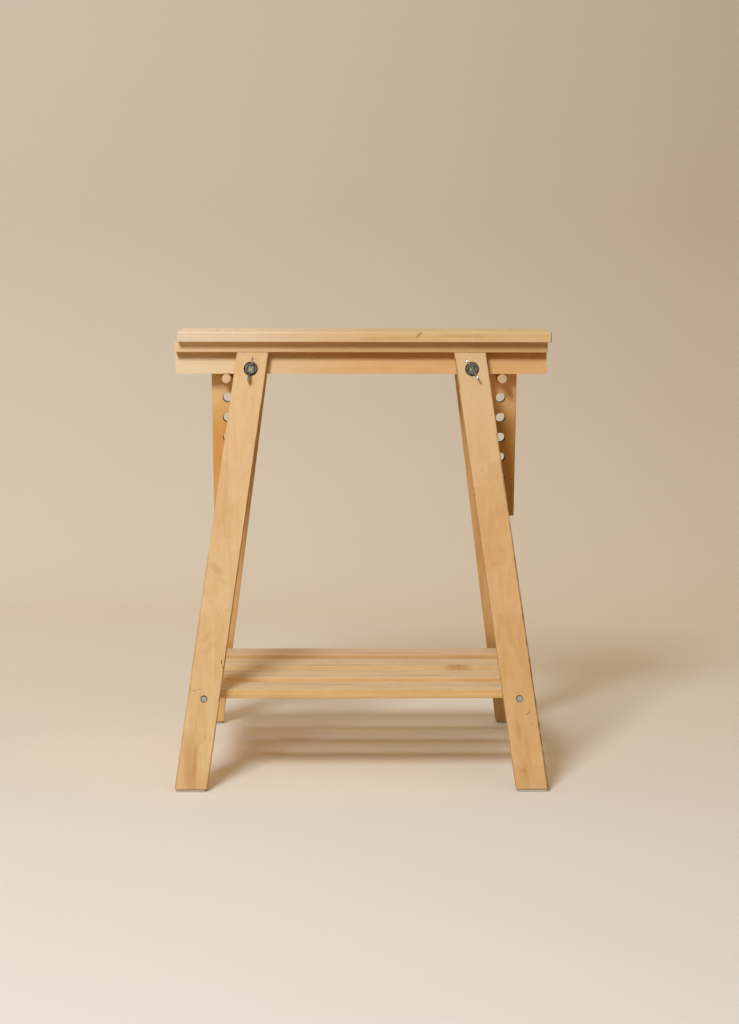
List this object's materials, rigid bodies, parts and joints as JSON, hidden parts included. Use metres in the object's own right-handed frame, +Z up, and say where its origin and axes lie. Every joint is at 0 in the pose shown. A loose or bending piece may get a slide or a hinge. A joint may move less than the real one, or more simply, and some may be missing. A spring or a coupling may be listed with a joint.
{
  "type": "trestle",
  "caption": "Height-adjustable wooden trestle: two leaning leg frames, a lifting top on pegged hole boards, wing-nut clamps and a slatted shelf.",
  "frame": {"origin": "on the floor, midway between the four feet; the lifting top sits 5 mm to the right of it, as in the picture", "axes": "+Z up, +X to the right along the top, -Y to the front, where the wing nuts are"},
  "size_m": [0.605, 0.4602, 0.71],
  "materials": {
    "top_wood": "clear-lacquered birch, slightly worn",
    "rail_wood": "clear-lacquered birch",
    "hole_board_wood": "clear-lacquered birch",
    "leg_wood": "clear-lacquered, edge-glued birch",
    "shelf_wood": "clear-lacquered birch",
    "dowel_wood": "plain birch",
    "zinc_steel": "zinc-plated steel",
    "pad_felt": "pressed grey felt"
  },
  "bodies": {
    "stand": {"cap_strip_front": "rail_wood", "cap_strip_back": "rail_wood", "cap_screws": "zinc_steel", "rail_front": "rail_wood", "rail_back": "rail_wood", "leg_front_left": "leg_wood", "leg_front_right": "leg_wood", "leg_back_left": "leg_wood", "leg_back_right": "leg_wood", "frame_dowels": "dowel_wood", "foot_pad_front_left": "pad_felt", "foot_pad_front_right": "pad_felt", "foot_pad_back_left": "pad_felt", "foot_pad_back_right": "pad_felt", "clamp_bolt_left": "zinc_steel", "clamp_bolt_right": "zinc_steel", "washer_left": "zinc_steel", "washer_right": "zinc_steel", "shelf_bearer_left": "shelf_wood", "shelf_bearer_right": "shelf_wood", "shelf_slat_1": "shelf_wood", "shelf_slat_2": "shelf_wood", "shelf_slat_3": "shelf_wood", "shelf_slat_4": "shelf_wood", "shelf_dowels": "dowel_wood", "shelf_bolts": "zinc_steel", "shelf_barrel_nuts": "zinc_steel"},
    "lifting_top": {"top_board": "top_wood", "hole_board_left": "hole_board_wood", "hole_board_right": "hole_board_wood", "top_screws": "zinc_steel"},
    "left_peg": {"peg_left": "dowel_wood"},
    "right_peg": {"peg_right": "dowel_wood"},
    "left_wing_nut": {"wing_nut_left": "zinc_steel"},
    "right_wing_nut": {"wing_nut_right": "zinc_steel"}
  },
  "joints": [
    {"name": "top_lift", "type": "slide", "parent": "stand", "child": "lifting_top", "axis": [0, 0, 1], "range_m": [0, 0.1968]},
    {"name": "left_peg_pull", "type": "slide", "parent": "stand", "child": "left_peg", "axis": [0, -1, 0], "range_m": [0, 0.11]},
    {"name": "right_peg_pull", "type": "slide", "parent": "stand", "child": "right_peg", "axis": [0, -1, 0], "range_m": [0, 0.11]},
    {"name": "left_wing_nut_turn", "type": "hinge", "parent": "stand", "child": "left_wing_nut", "pos_m": [-0.1781, -0.055, 0.651], "axis": [0, -1, 0], "continuous": true},
    {"name": "right_wing_nut_turn", "type": "hinge", "parent": "stand", "child": "right_wing_nut", "pos_m": [0.1781, -0.055, 0.651], "axis": [0, -1, 0], "continuous": true}
  ]
}
